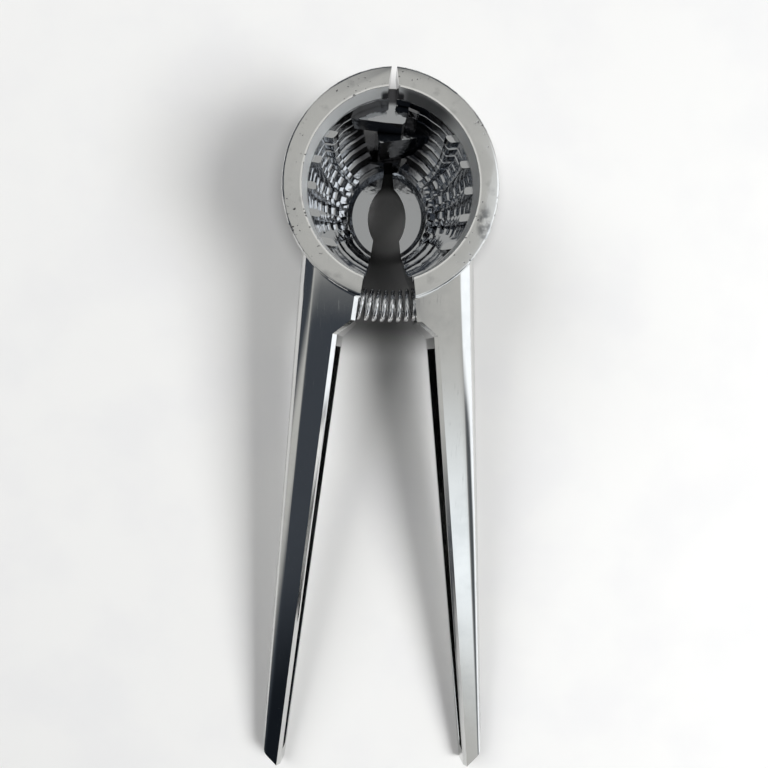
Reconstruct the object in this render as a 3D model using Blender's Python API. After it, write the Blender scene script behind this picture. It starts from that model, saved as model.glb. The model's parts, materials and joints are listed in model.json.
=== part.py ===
# Lever nutcracker: two cast jaws that turn on a hinge pin, held open by a coil spring.
#
# Each jaw is one casting: half of a funnel cup, its hinge knuckles, a neck and a channel handle.
# The cup opens upwards (+Z), the hinge end points to +Y and the handles run to -Y.
# A jaw is drawn shut, with the pivot at the local origin, and then turned open about the pivot.
# In the drawing u is the distance from the middle plane, so the left jaw has x = -u and the right x = u.

import math

import bmesh
import bpy
import numpy as np
from mathutils import Vector

MM = 0.001
SHARP_ANGLE = math.radians(32.0)

# Opening
HALF_OPENING = math.radians(7.6)   # each jaw's turn from shut to the open stop
PARTING_GAP = 0.3 * MM             # cup faces to the middle plane when shut
SLIT_GAP = 1.4 * MM                # rim faces to the middle plane behind the pivot

# Cup
PIVOT_DISTANCE = 21.6 * MM         # cup axis to pivot, along Y
AXIS_OFFSET = 4.6 * MM             # each half's own axis lies this far past the middle plane
CUP_HEIGHT = 38.0 * MM
RIM_RADIUS = 28.2 * MM
RIM_EDGE_ROUND = 0.7 * MM
RIM_INNER_RADIUS = 23.3 * MM
COLLAR_HEIGHT = 8.0 * MM           # upright band below the rim
COVE_HEIGHT = 2.6 * MM             # curve from the band in to the bowl
WALL = 2.7 * MM
FLOOR_THICKNESS = 2.8 * MM
FLOOR_RADIUS = 12.5 * MM
FLOOR_STRIP = 1.35 * MM            # sloped strip round the floor
FLOOR_SHIFT = 1.2 * MM             # the floor's middle lies this much nearer the hinge than the rim's
FOOT_CHAMFER = 0.6 * MM
CUP_SEGMENTS = 64

# Stepped wall; a level runs from 0 at the first step to 1 at the foot of the last one
BEVEL_DEPTH = 4.3 * MM             # plain band between the rim and the first step
BEVEL_INSET = 0.8 * MM
STEP_COUNT = 8
STEP_FOOT = 4.4 * MM               # height of the last step's foot, above a plain ring
RISER_SHARE = 0.4                  # a riser leans in by this share of the step's narrowing
TREAD_SLOPE = 0.45                 # a tread falls by this share of its depth
STEP_OVERLAP = 0.03 * MM           # each step's cut reaches up in to the one above
STEP_DRAFT = 0.08 * MM             # lean of the last riser
WALL_TAPER = 1.6 * MM              # even narrowing of the bowl from the first level to the last
WALL_CURVE = 7.7 * MM              # further narrowing that sets in towards the foot
WALL_POWER = 3.0

# Ribs: they all stand out square to the parting faces and draw together towards the floor
RIB_COUNT = 5
RIB_REACH = 2.2 * MM               # wall to the circle that the noses touch, at the top
RIB_CURVE = 6.0 * MM
RIB_POWER = 3.2
RIB_MIDDLE = -2.4 * MM             # middle rib's place along Y at the top, from the cup axis
RIB_MIDDLE_FOOT = 0.9 * MM
RIB_PITCH = 6.7 * MM
RIB_PITCH_FOOT = 3.5 * MM
RIB_HALF_WIDTH = 0.9 * MM
# Outline of a rib as shares of its half width and of its reach, from the hinge side round the nose
RIB_OUTLINE = ((1.0, 0.0), (1.0, 0.75), (0.8, 0.94), (0.4, 1.0),
               (-0.4, 1.0), (-0.8, 0.94), (-1.0, 0.75), (-1.0, 0.0))

# Hole in the floor
HOLE_RADIUS = 12.7 * MM            # each edge is an arc of this radius
HOLE_REACH = 3.1 * MM              # deepest point from the middle plane
HOLE_SHIFT = 1.4 * MM              # towards the hinge

# Hinge
PIN_RADIUS = 1.75 * MM
PIN_CLEARANCE = 0.3 * MM
PIN_HEAD_RADIUS = 2.9 * MM
PIN_HEAD_HEIGHT = 0.8 * MM
BARREL_RADIUS = 4.2 * MM
KNUCKLE_LEVELS = (0.8 * MM, 10.4 * MM, 24.2 * MM, 30.5 * MM)
KNUCKLE_GAP = 0.3 * MM
KNUCKLE_EDGE = 0.5 * MM            # bevel on the free end
# Each knuckle's plan from the lowest to the highest, measured from the pivot:
# the inner face at its free end, middle and root, the free end's reach past the middle plane,
# the root's distance from the middle plane and the root's back corner.
KNUCKLE_PLANS = ((6.4 * MM, 7.4 * MM, 7.5 * MM, 4.3 * MM, 9.0 * MM, 6.0 * MM),
                 (6.4 * MM, 6.2 * MM, 5.9 * MM, 4.1 * MM, 9.5 * MM, 3.0 * MM),
                 (4.0 * MM, 4.4 * MM, 4.8 * MM, 3.8 * MM, 11.5 * MM, 2.0 * MM))
FACE_MIDDLE = 1.4 * MM             # where the middle of a face is measured
SLOT_RADII = (8.0 * MM, 7.8 * MM, 7.0 * MM)      # room in the other jaw for each knuckle's corners
SLOT_RELIEF = 0.4 * MM             # room above and below a knuckle
ROOF_OVER_PIN = 1.1 * MM

# Neck and handle; s runs from 0 at the neck to 1 at the tip
NECK_FACE = 1.0 * MM
NECK_TOP = 14.0 * MM               # below the cup axis, buried in the bowl
NECK_FOOT = 33.2 * MM
CORNER_FOOT = 37.6 * MM
HANDLE_END = 177.4 * MM
INNER_AT_NECK = 5.2 * MM
INNER_AT_TIP = 3.6 * MM
WIDTH_AT_NECK = 11.4 * MM
WIDTH_AT_TIP = 6.0 * MM
FACE_AT_NECK = 28.0 * MM
FACE_AT_TIP = 5.0 * MM
BACK_AT_NECK = 12.5 * MM
BACK_LIP = 0.8 * MM                # the back flange reaches this much further in
FRONT_ROUND_NECK = 4.5 * MM
FRONT_ROUND_TIP = 1.6 * MM
BACK_ROUND_NECK = 3.0 * MM
BACK_ROUND_TIP = 1.2 * MM
LIP_CHAMFER = 1.1 * MM
HANDLE_WALL = 2.2 * MM
FLANGE = 1.5 * MM
CHANNEL_START = 40.6 * MM
CHANNEL_STOP = 171.5 * MM
CHANNEL_EASE = 0.3                 # its corners are cut back by this share of its height
TIP_SLANT = 4.6 * MM               # the outer corner ends this much earlier than the inner one
TIP_SIDE_LEAN = math.radians(2.0)  # the cut leans out by this past the rounded corner
TIP_ROUND = 2.6 * MM
HANDLE_STATIONS = 12

# Spring
SPRING_DROP = 28.0 * MM            # spring axis below the cup axis
COIL_RADIUS = 3.85 * MM
WIRE_RADIUS = 0.65 * MM
COIL_PITCH = 2.3 * MM
POINTS_PER_CURL = 9
POCKET_DEPTH = 9.5 * MM
POCKET_CLEARANCE = 0.4 * MM
SEAT_CLEARANCE = 0.3 * MM

# Places worked out from the sizes above; y is measured from the pivot
CUP_Y = -PIVOT_DISTANCE
COLLAR_FOOT = CUP_HEIGHT - COLLAR_HEIGHT
FIRST_STEP = CUP_HEIGHT - BEVEL_DEPTH
STEP_TOP_RADIUS = RIM_INNER_RADIUS - BEVEL_INSET
FOOT_RADIUS = STEP_TOP_RADIUS - WALL_TAPER - WALL_CURVE + WALL - FOOT_CHAMFER
SPRING_Y = CUP_Y - SPRING_DROP
OVERCUT = 1.0 * MM


def wall_radius(level):
    level = min(max(level, 0.0), 1.0)
    return STEP_TOP_RADIUS - WALL_TAPER * level - WALL_CURVE * level ** WALL_POWER


def nose_radius(level):
    return STEP_TOP_RADIUS - RIB_REACH - WALL_TAPER * level - RIB_CURVE * level ** RIB_POWER


def step_height(index):
    """Height of a step's upper edge; the last index is the foot of the last step."""
    return FIRST_STEP + (STEP_FOOT - FIRST_STEP) * index / STEP_COUNT


def mix(start, end, share):
    return start + (end - start) * share


def cup_middle(z):
    """Y of the cup's middle at a height: it moves towards the hinge from the first step to the floor."""
    share = (FIRST_STEP - z) / (FIRST_STEP - FLOOR_THICKNESS)
    return CUP_Y + FLOOR_SHIFT * min(max(share, 0.0), 1.0)


def material(name, colour, roughness):
    made = bpy.data.materials.new(name)
    made.use_nodes = True
    shader = made.node_tree.nodes["Principled BSDF"]
    shader.inputs["Base Color"].default_value = (*colour, 1.0)
    shader.inputs["Metallic"].default_value = 1.0
    shader.inputs["Roughness"].default_value = roughness
    return made


def object_from(bm, name):
    """Make an object of a bmesh whose faces are turned outwards."""
    bmesh.ops.recalc_face_normals(bm, faces=bm.faces)
    mesh = bpy.data.meshes.new(name)
    bm.to_mesh(mesh)
    bm.free()
    made = bpy.data.objects.new(name, mesh)
    bpy.context.scene.collection.objects.link(made)
    return made


def loft(name, rings):
    """Skin a row of rings, each with the same number of points, and cap both ends."""
    bm = bmesh.new()
    loops = [[bm.verts.new(point) for point in ring] for ring in rings]
    count = len(loops[0])
    for lower, upper in zip(loops, loops[1:]):
        for i in range(count):
            j = (i + 1) % count
            bm.faces.new((lower[i], lower[j], upper[j], upper[i]))
    bm.faces.new(loops[0])
    bm.faces.new(loops[-1])
    return object_from(bm, name)


def prism(name, outline, bottom, top):
    """Extrude a flat outline of (x, y) points from one height to another."""
    bm = bmesh.new()
    base = bm.faces.new([bm.verts.new((x, y, bottom)) for x, y in outline])
    sides = bmesh.ops.extrude_face_region(bm, geom=[base])["geom"]
    moved = [item for item in sides if isinstance(item, bmesh.types.BMVert)]
    bmesh.ops.translate(bm, verts=moved, vec=(0, 0, top - bottom))
    return object_from(bm, name)


def arc(centre, radius, start, end, count):
    """Points on a circle arc, both ends included."""
    return [(centre[0] + radius * math.cos(a), centre[1] + radius * math.sin(a))
            for a in np.linspace(start, end, count)]


def circle(centre, radius, z, segments):
    """Level ring of points."""
    angles = np.linspace(0.0, 2.0 * math.pi, segments, endpoint=False)
    return [(centre[0] + radius * math.cos(a), centre[1] + radius * math.sin(a), z) for a in angles]


def turned(name, profile, centre, segments):
    """Spin a profile of (radius, z) points about an upright axis; its ends lie off the axis."""
    return loft(name, [circle(centre, r, z, segments) for r, z in profile])


def combine(target, tool, operation):
    """Apply one exact Boolean to the target and take the tool away."""
    modifier = target.modifiers.new(tool.name, "BOOLEAN")
    modifier.operation = operation
    modifier.solver = "EXACT"
    modifier.object = tool
    graph = bpy.context.evaluated_depsgraph_get()
    mesh = bpy.data.meshes.new_from_object(target.evaluated_get(graph))
    target.modifiers.clear()
    target.data = mesh
    bpy.data.objects.remove(tool)


def keep_largest_shell(mesh):
    """Drop the loose slivers that cuts can leave where two of their faces nearly meet."""
    bm = bmesh.new()
    bm.from_mesh(mesh)
    waiting = set(bm.verts)
    shells = []
    while waiting:
        front = [waiting.pop()]
        shell = list(front)
        while front:
            ends = {edge.other_vert(vertex) for vertex in front for edge in vertex.link_edges}
            front = list(ends & waiting)
            waiting -= ends
            shell += front
        shells.append(shell)
    largest = set(max(shells, key=len))
    loose = [vertex for vertex in bm.verts if vertex not in largest]
    bmesh.ops.delete(bm, geom=loose, context="VERTS")
    bm.to_mesh(mesh)
    bm.free()


def cup_blank(side):
    """The cup's outer form, a stack of level circles, cut back to one half."""
    axis = -side * AXIS_OFFSET
    bowl_top = COLLAR_FOOT - COVE_HEIGHT
    profile = [(FOOT_RADIUS - FOOT_CHAMFER, 0.0), (FOOT_RADIUS, FOOT_CHAMFER)]
    for z in np.linspace(FLOOR_THICKNESS, bowl_top, 7):
        level = (FIRST_STEP - z) / (FIRST_STEP - STEP_FOOT)
        profile.append((wall_radius(level) + WALL, z))
    bowl_radius = profile[-1][0]
    for turn in (0.4, 0.75):
        angle = turn * math.pi / 2.0
        radius = mix(bowl_radius, RIM_RADIUS, 1.0 - math.cos(angle))
        profile.append((radius, bowl_top + COVE_HEIGHT * math.sin(angle)))
    profile.append((RIM_RADIUS, COLLAR_FOOT))
    for r, z in arc((RIM_RADIUS - RIM_EDGE_ROUND, CUP_HEIGHT - RIM_EDGE_ROUND), RIM_EDGE_ROUND,
                    0.0, math.pi / 2.0, 4):
        profile.append((r, z))
    rings = [circle((axis, cup_middle(z)), r, z, CUP_SEGMENTS) for r, z in profile]
    blank = loft("cup_blank", rings)
    far = 3.0 * RIM_RADIUS
    outline = [(side * PARTING_GAP, -far), (side * PARTING_GAP, 0.0), (side * SLIT_GAP, 0.0),
               (side * SLIT_GAP, far), (-side * far, far), (-side * far, -far)]
    combine(blank, prism("other_half", outline, -OVERCUT, CUP_HEIGHT + OVERCUT), "DIFFERENCE")
    return blank


def cavity_ring(side, wall, nose, level, z):
    """One contour of the hollow: a circle with a round nosed tab at each rib."""
    middle = cup_middle(z)
    first = CUP_Y + mix(RIB_MIDDLE, RIB_MIDDLE_FOOT, level) - middle
    pitch = mix(RIB_PITCH, RIB_PITCH_FOOT, level)
    points = []
    for index in range(RIB_COUNT):
        centre = first + pitch * ((RIB_COUNT - 1) / 2.0 - index)
        tab = []
        for width_share, reach_share in RIB_OUTLINE:
            across = centre + RIB_HALF_WIDTH * width_share
            outer = math.sqrt(wall * wall - across * across)
            inner = math.sqrt(nose * nose - across * across)
            tab.append((mix(outer, inner, reach_share), across))
        if points:
            start = math.atan2(points[-1][1], points[-1][0])
            end = math.atan2(tab[0][1], tab[0][0])
            points += arc((0.0, 0.0), wall, start, end, 4)[1:-1]
        points += tab
    start = math.atan2(points[-1][1], points[-1][0])
    end = math.atan2(points[0][1], points[0][0]) - 2.0 * math.pi
    points += arc((0.0, 0.0), wall, start, end, 24)[1:-1]
    return [(side * (x - AXIS_OFFSET), middle + y, z) for x, y in points]


def step_rings(side, index):
    """Contours of one step from its foot up: the sloped tread, the riser that leans, its upper edge."""
    level = (index + 0.5) / STEP_COUNT
    below = level + 1.0 / STEP_COUNT
    wall, nose = wall_radius(level), nose_radius(level)
    top = step_height(index) + STEP_OVERLAP
    foot = step_height(index + 1)
    if index == STEP_COUNT - 1:
        return [cavity_ring(side, wall - STEP_DRAFT, nose - STEP_DRAFT, level, foot),
                cavity_ring(side, wall, nose, level, top)]
    tread_wall = mix(wall, wall_radius(below), RISER_SHARE)
    tread_nose = mix(nose, nose_radius(below), RISER_SHARE)
    drop = TREAD_SLOPE * (tread_wall - wall_radius(below))
    return [cavity_ring(side, wall_radius(below), nose_radius(below), below, foot),
            cavity_ring(side, tread_wall, tread_nose, level, foot + drop),
            cavity_ring(side, wall, nose, level, top)]


def hollow(body, side):
    """Cut the cup out level by level: a plain band, the steps with their ribs, a ring at the floor."""
    axis = (-side * AXIS_OFFSET, CUP_Y)
    wide = RIM_INNER_RADIUS + OVERCUT * BEVEL_INSET / BEVEL_DEPTH
    band = [(STEP_TOP_RADIUS, FIRST_STEP), (wide, CUP_HEIGHT + OVERCUT)]
    combine(body, turned("plain_band", band, axis, CUP_SEGMENTS), "DIFFERENCE")
    for index in range(STEP_COUNT):
        combine(body, loft("step", step_rings(side, index)), "DIFFERENCE")
    axis = (-side * AXIS_OFFSET, cup_middle(STEP_FOOT))
    ring = [(FLOOR_RADIUS, FLOOR_THICKNESS), (FLOOR_RADIUS + FLOOR_STRIP, STEP_FOOT)]
    combine(body, turned("floor_ring", ring, axis, CUP_SEGMENTS), "DIFFERENCE")


def handle_outside(slope):
    """Distance of the handle's outer side from the middle plane; slope runs from 0 at the neck to 1."""
    return mix(INNER_AT_NECK, INNER_AT_TIP, slope) + mix(WIDTH_AT_NECK, WIDTH_AT_TIP, slope)


def handle_section(side, y):
    """Outline of the solid handle at one place, from the inner back corner round the outside."""
    below = CUP_Y - y
    share = max(0.0, (below - CORNER_FOOT) / (HANDLE_END - CORNER_FOOT))
    corner = min(max((below - NECK_FOOT) / (CORNER_FOOT - NECK_FOOT), 0.0), 1.0)
    slope = (below - CORNER_FOOT) / (HANDLE_END - CORNER_FOOT)
    inner = mix(mix(NECK_FACE, INNER_AT_NECK, corner), INNER_AT_TIP, share)
    outer = handle_outside(slope)
    face = mix(FACE_AT_NECK, FACE_AT_TIP, slope)
    back = mix(BACK_AT_NECK, 0.0, slope)
    front_round = mix(FRONT_ROUND_NECK, FRONT_ROUND_TIP, share)
    back_round = mix(BACK_ROUND_NECK, BACK_ROUND_TIP, share)
    points = [(inner - BACK_LIP * corner, back), (inner, face - LIP_CHAMFER)]
    points.append((inner + LIP_CHAMFER, face))
    points += arc((outer - front_round, face - front_round), front_round, math.pi / 2.0, 0.0, 7)
    points += arc((outer - back_round, back + back_round), back_round, 0.0, -math.pi / 2.0, 5)
    return [(side * u, y, z) for u, z in points]


def handle(side):
    """Neck and handle, lofted from the bowl to the tip and cut to a slanted round end."""
    stops = [NECK_TOP, NECK_FOOT, CORNER_FOOT]
    stops += list(np.linspace(CORNER_FOOT, HANDLE_END, HANDLE_STATIONS + 1))[1:]
    blank = loft("handle", [handle_section(side, CUP_Y - stop) for stop in stops])
    inner = INNER_AT_TIP + LIP_CHAMFER
    outer = INNER_AT_TIP + WIDTH_AT_TIP
    foot = CUP_Y - HANDLE_END + OVERCUT / 2.0
    lean = math.atan2(TIP_SLANT, outer - inner)
    # The corner is an arc that touches the slanted end and the handle's outer edge.
    bend = math.pi / 2.0 + TIP_SIDE_LEAN - lean
    setback = TIP_ROUND * math.tan(bend / 2.0)
    corner = (outer - TIP_SIDE_LEAN * TIP_SLANT, foot + TIP_SLANT)
    start = (corner[0] - setback * math.cos(lean), corner[1] - setback * math.sin(lean))
    centre = (start[0] - TIP_ROUND * math.sin(lean), start[1] + TIP_ROUND * math.cos(lean))
    bend_points = arc(centre, TIP_ROUND, lean - math.pi / 2.0, TIP_SIDE_LEAN, 6)
    far = 4.0 * outer
    outline = [(-far, foot - far), (-far, foot), (inner, foot)] + bend_points
    outline += [(outer + 2.0 * far * TIP_SIDE_LEAN, foot + far)]
    outline += [(2.0 * far, foot + far), (2.0 * far, foot - far)]
    tool = prism("tip_cut", [(side * u, y) for u, y in outline], -OVERCUT, FACE_AT_NECK)
    combine(blank, tool, "DIFFERENCE")
    return blank


def channel(side):
    """The hollow of the handle, open towards the other handle."""
    rings = []
    for below in np.linspace(CHANNEL_START, CHANNEL_STOP, HANDLE_STATIONS):
        slope = (below - CORNER_FOOT) / (HANDLE_END - CORNER_FOOT)
        outer = handle_outside(slope) - HANDLE_WALL
        top = mix(FACE_AT_NECK, FACE_AT_TIP, slope) - FLANGE
        bottom = mix(BACK_AT_NECK, 0.0, slope) + FLANGE
        ease = CHANNEL_EASE * (top - bottom)
        outline = [(-OVERCUT, bottom), (-OVERCUT, top), (outer - ease, top), (outer, top - ease),
                   (outer, bottom + ease), (outer - ease, bottom)]
        rings.append([(side * u, CUP_Y - below, z) for u, z in outline])
    return loft("channel", rings)


def knuckle_span(index):
    """Bottom and top of one knuckle; each later one starts a running gap above the one below."""
    bottom = KNUCKLE_LEVELS[index] + (KNUCKLE_GAP if index else 0.0)
    return bottom, KNUCKLE_LEVELS[index + 1]


def knuckle(side, index):
    """A barrel round the pin with a block in front that runs into the jaw's own wall."""
    face, middle_face, root_face, reach, root, back = KNUCKLE_PLANS[index]
    outline = circle((0.0, 0.0), BARREL_RADIUS, 0.0, 24)
    outline = [(u, y) for u, y, z in outline if y > -face]
    outline += [(root, -root_face), (root, -back), (FACE_MIDDLE, -middle_face)]
    outline += [(KNUCKLE_EDGE - reach, -face), (-reach, KNUCKLE_EDGE - face)]
    bm = bmesh.new()
    for z in knuckle_span(index):
        for u, y in outline:
            bm.verts.new((side * u, y, z))
    hull = bmesh.ops.convex_hull(bm, input=bm.verts)
    unused = set(hull["geom_interior"] + hull["geom_unused"])
    unused = [item for item in unused if isinstance(item, bmesh.types.BMVert)]
    bmesh.ops.delete(bm, geom=unused, context="VERTS")
    bmesh.ops.dissolve_limit(bm, angle_limit=math.radians(0.5), verts=bm.verts, edges=bm.edges)
    return object_from(bm, "knuckle")


def slot(side, index):
    """Room in one jaw for a knuckle of the other: a round space about the pin."""
    bottom, top = knuckle_span(index)
    radius = SLOT_RADII[index]
    relief = SLOT_RELIEF
    low = bottom - relief if index else -OVERCUT
    return turned("slot", [(radius, low), (radius, top + relief)], (0.0, 0.0), 48)


def spring_pocket(side):
    """Blind round hole in the neck, square to its face."""
    radius = COIL_RADIUS + WIRE_RADIUS + POCKET_CLEARANCE
    ring = arc((SPRING_Y, spring_height()), radius, 0.0, 2.0 * math.pi, 33)[:-1]
    rings = [[(side * u, y, z) for y, z in ring] for u in (-OVERCUT, NECK_FACE + POCKET_DEPTH)]
    return loft("spring_pocket", rings)


def spring_height():
    """Middle of the neck's depth where the spring sits."""
    slope = (SPRING_DROP - CORNER_FOOT) / (HANDLE_END - CORNER_FOOT)
    return (mix(FACE_AT_NECK, FACE_AT_TIP, slope) + mix(BACK_AT_NECK, 0.0, slope)) / 2.0


def jaw(name, side, knuckles, finish):
    """One casting, drawn shut about the pivot."""
    body = cup_blank(side)
    body.name = name
    combine(body, handle(side), "UNION")
    hollow(body, side)
    hole = (side * (HOLE_REACH - HOLE_RADIUS), CUP_Y + HOLE_SHIFT)
    through = [(HOLE_RADIUS, -OVERCUT), (HOLE_RADIUS, FLOOR_THICKNESS + OVERCUT)]
    combine(body, turned("floor_hole", through, hole, 80), "DIFFERENCE")
    combine(body, channel(side), "DIFFERENCE")
    combine(body, spring_pocket(side), "DIFFERENCE")
    others = [index for index in range(len(KNUCKLE_PLANS)) if index not in knuckles]
    for index in others:
        combine(body, slot(side, index), "DIFFERENCE")
    for index in knuckles:
        combine(body, knuckle(side, index), "UNION")
    bore = PIN_RADIUS + PIN_CLEARANCE
    roof = KNUCKLE_LEVELS[-1] - ROOF_OVER_PIN
    shaft = [(bore, -OVERCUT), (bore, roof)]
    combine(body, turned("bore", shaft, (0.0, 0.0), 24), "DIFFERENCE")
    if 0 in knuckles:
        seat = PIN_HEAD_RADIUS + PIN_CLEARANCE
        seat_top = KNUCKLE_LEVELS[0] + PIN_HEAD_HEIGHT + 2.0 * PIN_CLEARANCE
        recess = [(seat, -OVERCUT), (seat, seat_top)]
        combine(body, turned("head_seat", recess, (0.0, 0.0), 32), "DIFFERENCE")
    keep_largest_shell(body.data)
    body.data.materials.clear()
    body.data.materials.append(finish)
    body.data.shade_smooth()
    body.data.set_sharp_from_angle(angle=SHARP_ANGLE)
    body.rotation_euler.z = side * HALF_OPENING
    return body


def hinge_pin(finish):
    """Headed pin, its head let into the lowest knuckle, its end under the roof of the highest one."""
    bottom = KNUCKLE_LEVELS[0] + PIN_CLEARANCE
    top = KNUCKLE_LEVELS[-1] - ROOF_OVER_PIN - PIN_CLEARANCE
    ease = 0.25 * MM
    profile = [(PIN_HEAD_RADIUS - ease, bottom), (PIN_HEAD_RADIUS, bottom + ease),
               (PIN_HEAD_RADIUS, bottom + PIN_HEAD_HEIGHT), (PIN_RADIUS, bottom + PIN_HEAD_HEIGHT),
               (PIN_RADIUS, top - ease), (PIN_RADIUS - ease, top)]
    pin = turned("hinge_pin", profile, (0.0, 0.0), 24)
    pin.data.materials.append(finish)
    pin.data.shade_smooth()
    pin.data.set_sharp_from_angle(angle=SHARP_ANGLE)
    return pin


def spring_line(distance):
    """Point and direction on the spring's axis: straight in each pocket, round the pivot between."""
    radius = -SPRING_Y
    half_arc = radius * HALF_OPENING
    turn = min(max(distance / radius, -HALF_OPENING), HALF_OPENING)
    past = distance - min(max(distance, -half_arc), half_arc)
    along = Vector((math.cos(turn), math.sin(turn), 0.0))
    on_arc = Vector((radius * math.sin(turn), -radius * math.cos(turn), spring_height()))
    return on_arc + along * past, along


def return_spring(finish):
    """One unbroken wire, wound left-handed: a straight leg, the curls and a straight leg."""
    wire = 2.0 * WIRE_RADIUS
    half_arc = -SPRING_Y * HALF_OPENING
    half_length = half_arc + NECK_FACE + POCKET_DEPTH - SEAT_CLEARANCE
    curl_length = 2.0 * (half_length - wire)
    curls = curl_length / COIL_PITCH
    count = int(round(curls * POINTS_PER_CURL)) + 1
    points = []
    for share in np.linspace(0.0, 1.0, count):
        middle, along = spring_line((share - 0.5) * curl_length)
        across = Vector((-along.y, along.x, 0.0))
        angle = -2.0 * math.pi * curls * (share - 0.5)
        spoke = across * math.cos(angle) + Vector((0.0, 0.0, math.sin(angle)))
        points.append(middle + COIL_RADIUS * spoke)
    for end, place in ((0, 0), (-1, len(points) + 1)):
        along = spring_line(-half_length if end == 0 else half_length)[1]
        points.insert(place, points[end] + along * (-wire if end == 0 else wire))
    curve = bpy.data.curves.new("return_spring", "CURVE")
    curve.dimensions = "3D"
    curve.bevel_depth = WIRE_RADIUS
    curve.bevel_resolution = 1
    curve.use_fill_caps = True
    spline = curve.splines.new("POLY")
    spline.points.add(len(points) - 1)
    for target, point in zip(spline.points, points):
        target.co = (*point, 1.0)
    spring = bpy.data.objects.new("return_spring", curve)
    bpy.context.scene.collection.objects.link(spring)
    curve.materials.append(finish)
    path = np.array(points)
    apart = POINTS_PER_CURL // 2 + 1
    gaps = [np.linalg.norm(path[apart + i:] - path[i], axis=1).min() for i in range(len(path) - apart)]
    print("spring curls %.1f, least gap to itself %.2f mm" % (curls, (min(gaps) - wire) / MM))
    return spring


def main():
    for old in list(bpy.data.objects):
        bpy.data.objects.remove(old)
    chrome_left = material("left_jaw_chrome", (0.64, 0.64, 0.63), 0.12)
    chrome_right = material("right_jaw_chrome", (0.64, 0.64, 0.63), 0.12)
    pin_steel = material("pin_steel", (0.56, 0.56, 0.55), 0.32)
    spring_steel = material("spring_steel", (0.48, 0.48, 0.47), 0.28)
    pieces = [jaw("left_jaw", -1.0, (0, 2), chrome_left), jaw("right_jaw", 1.0, (1,), chrome_right),
              hinge_pin(pin_steel), return_spring(spring_steel)]
    # The frame's origin is below the middle of the whole object, on the surface that it stands on.
    bpy.context.view_layer.update()
    ends = [(piece.matrix_world @ vertex.co).y for piece in pieces[:2] for vertex in piece.data.vertices]
    frame = bpy.data.objects.new("pivot", None)
    bpy.context.scene.collection.objects.link(frame)
    frame.location.y = -(min(ends) + max(ends)) / 2.0
    for piece in pieces:
        piece.parent = frame
    heights = (frame.location.y / MM, spring_height() / MM)
    print("pivot at y = %.3f mm, spring axis at z = %.3f mm" % heights)


main()
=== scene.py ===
# %% [markdown]
# # A chrome lever nutcracker
#
# The real tool is two zinc castings, plated with chrome, that turn on a steel pin. Each casting is half of
# a funnel cup, a neck and a channel handle, and a coil spring between the necks keeps the handles apart.
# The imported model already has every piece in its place, so this script dresses it: it gives the castings
# the soft edges that plating leaves, winds a finer spring, turns a finer pin, finishes the metal, and
# lights the whole.

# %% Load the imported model
import json
import math

import bmesh
import bpy
import numpy as np
from mathutils import Euler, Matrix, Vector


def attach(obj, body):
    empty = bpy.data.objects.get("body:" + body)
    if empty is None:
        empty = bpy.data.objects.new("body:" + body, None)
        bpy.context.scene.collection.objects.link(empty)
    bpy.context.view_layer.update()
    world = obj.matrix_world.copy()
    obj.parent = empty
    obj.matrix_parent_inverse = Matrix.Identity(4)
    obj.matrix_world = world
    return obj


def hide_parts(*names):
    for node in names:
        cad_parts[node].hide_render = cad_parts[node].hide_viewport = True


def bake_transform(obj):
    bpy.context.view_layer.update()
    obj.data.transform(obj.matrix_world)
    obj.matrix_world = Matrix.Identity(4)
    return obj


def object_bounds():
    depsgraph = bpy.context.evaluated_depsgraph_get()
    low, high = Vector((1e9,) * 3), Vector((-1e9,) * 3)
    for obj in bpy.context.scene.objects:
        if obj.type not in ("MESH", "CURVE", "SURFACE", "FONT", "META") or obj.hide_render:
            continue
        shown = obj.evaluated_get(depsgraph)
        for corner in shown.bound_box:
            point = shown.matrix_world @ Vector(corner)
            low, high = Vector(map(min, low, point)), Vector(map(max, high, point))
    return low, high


MM = 0.001
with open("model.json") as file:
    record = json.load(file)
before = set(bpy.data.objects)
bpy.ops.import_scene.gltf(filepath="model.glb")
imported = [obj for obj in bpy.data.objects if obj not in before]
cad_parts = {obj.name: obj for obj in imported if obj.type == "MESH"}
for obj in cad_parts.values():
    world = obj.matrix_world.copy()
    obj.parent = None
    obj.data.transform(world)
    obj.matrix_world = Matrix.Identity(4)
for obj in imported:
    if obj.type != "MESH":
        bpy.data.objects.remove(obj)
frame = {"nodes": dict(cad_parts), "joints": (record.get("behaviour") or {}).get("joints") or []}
cad_low, cad_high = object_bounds()
hinge = frame["joints"][0]
pivot = np.array(hinge["pos_m"])
half_opening = math.radians(-hinge["range_deg"][0]) / 2.0
print("nodes:", sorted(frame["nodes"]), "hinge at", np.round(pivot, 4))

# %% [markdown]
# ## The camera
#
# The picture was taken from close by with a short lens, almost straight down over the upper end of the
# handles. A focal length is a ratio, so it is kept as pixels of the 768 pixel frame and turned into
# millimetres on a 36 mm sensor.

# %% Place the camera
FRAME_PIXELS = 768
FOCAL_PIXELS = 521.7
SENSOR_MM = 36.0
CAMERA_AT = (-0.0040, 0.0324, 0.1665)
CAMERA_TURN_DEG = (-3.380846, -1.501111, 1.560663)

lens = bpy.data.cameras.new("camera")
lens.sensor_width = SENSOR_MM
lens.lens = SENSOR_MM * FOCAL_PIXELS / FRAME_PIXELS
lens.clip_start = 1.0 * MM
camera = bpy.data.objects.new("camera", lens)
camera.location = CAMERA_AT
camera.rotation_euler = Euler([math.radians(turn) for turn in CAMERA_TURN_DEG])
bpy.context.scene.collection.objects.link(camera)
bpy.context.scene.camera = camera
print("lens: %.2f mm" % lens.lens)

# %% [markdown]
# ## Castings with soft edges
#
# A plated casting has no razor edges: the mould, the polishing wheel and the plating each round them a
# little, and those narrow roundings catch the light as thin bright lines. The model's faces are welded
# into one skin, the flat ones are joined again, and a Bevel modifier rounds every edge sharper than an
# angle. Harden normals keeps the wide faces flat, which matters on a mirror.

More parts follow.
